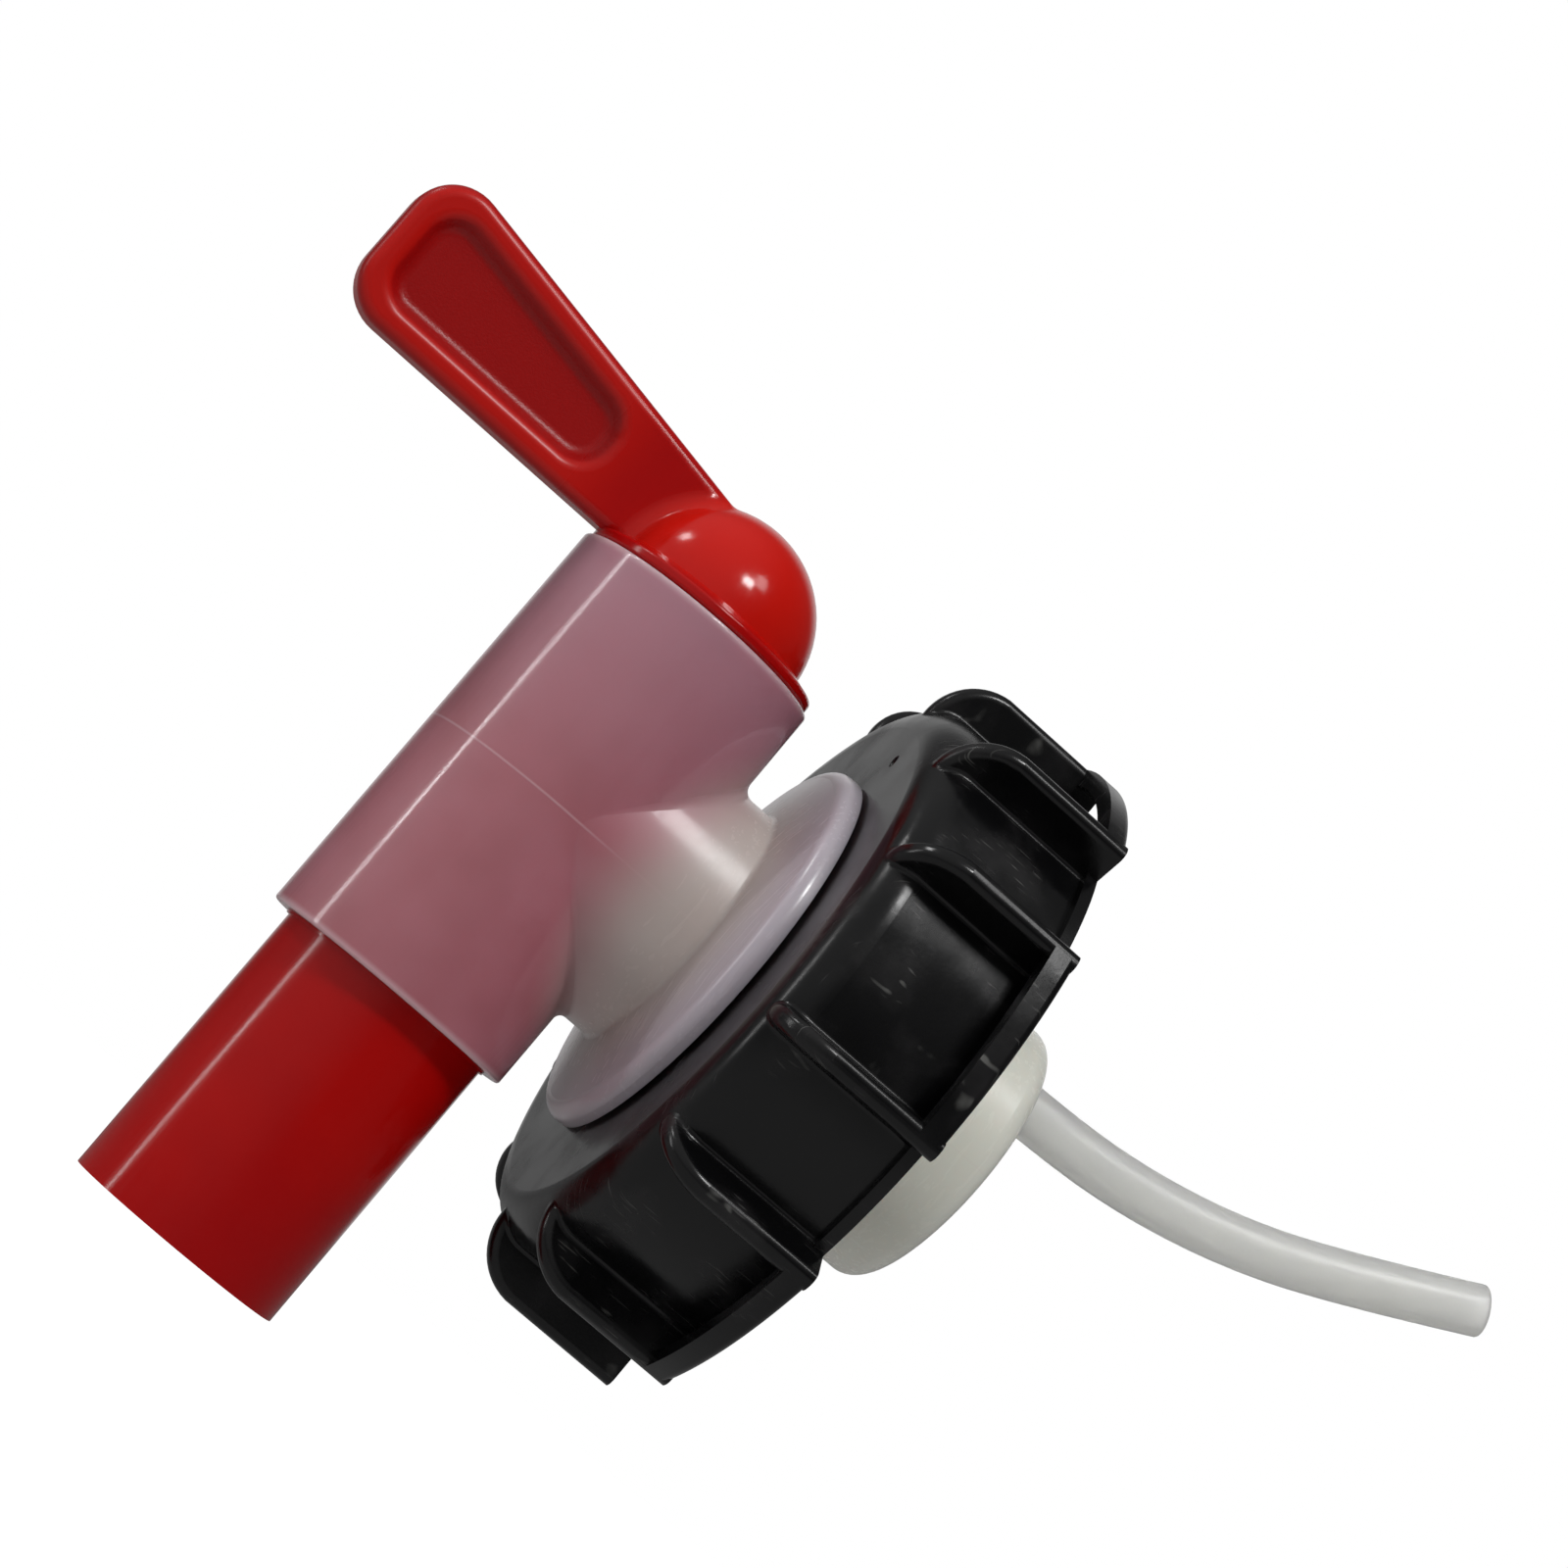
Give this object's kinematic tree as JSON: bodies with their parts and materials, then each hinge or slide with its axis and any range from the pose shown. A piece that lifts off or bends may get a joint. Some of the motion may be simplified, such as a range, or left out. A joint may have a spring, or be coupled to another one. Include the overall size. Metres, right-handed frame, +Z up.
{
  "type": "jerrycan dispensing tap",
  "caption": "Plastic dispensing tap: translucent barrel and neck, red turning plug with spout and paddle handle, black lobed screw cap and curved vent tube.",
  "frame": {"origin": "on the neck's axis, in the plane of the gasket face where the container's rim lands, at the inner end of the cap's thread", "axes": "+X along the neck, out of the cap's mouth to the container; +Z up along the barrel to the handle; +Y to the tap's left seen from the spout side"},
  "size_m": [0.1565, 0.077, 0.0949],
  "materials": {
    "natural_polyethylene": "translucent moulded satin",
    "red_polyethylene": "moulded semi gloss",
    "black_polyethylene": "moulded semi gloss",
    "gasket_rubber": "smooth",
    "tube_polyethylene": "translucent extruded"
  },
  "bodies": {
    "cap": {"screw_cap": "black_polyethylene", "gasket": "gasket_rubber"},
    "body": {"valve_body": "natural_polyethylene", "vent_tube": "tube_polyethylene"},
    "plug": {"plug": "red_polyethylene"}
  },
  "joints": [
    {"name": "cap_swivel", "type": "hinge", "parent": "cap", "child": "body", "pos_m": [0, 0, 0], "axis": [1, 0, 0], "continuous": true},
    {"name": "plug_turn", "type": "hinge", "parent": "body", "child": "plug", "pos_m": [-0.0273, 0, 0], "axis": [0, 0, 1], "range_deg": [-90, 90]}
  ]
}
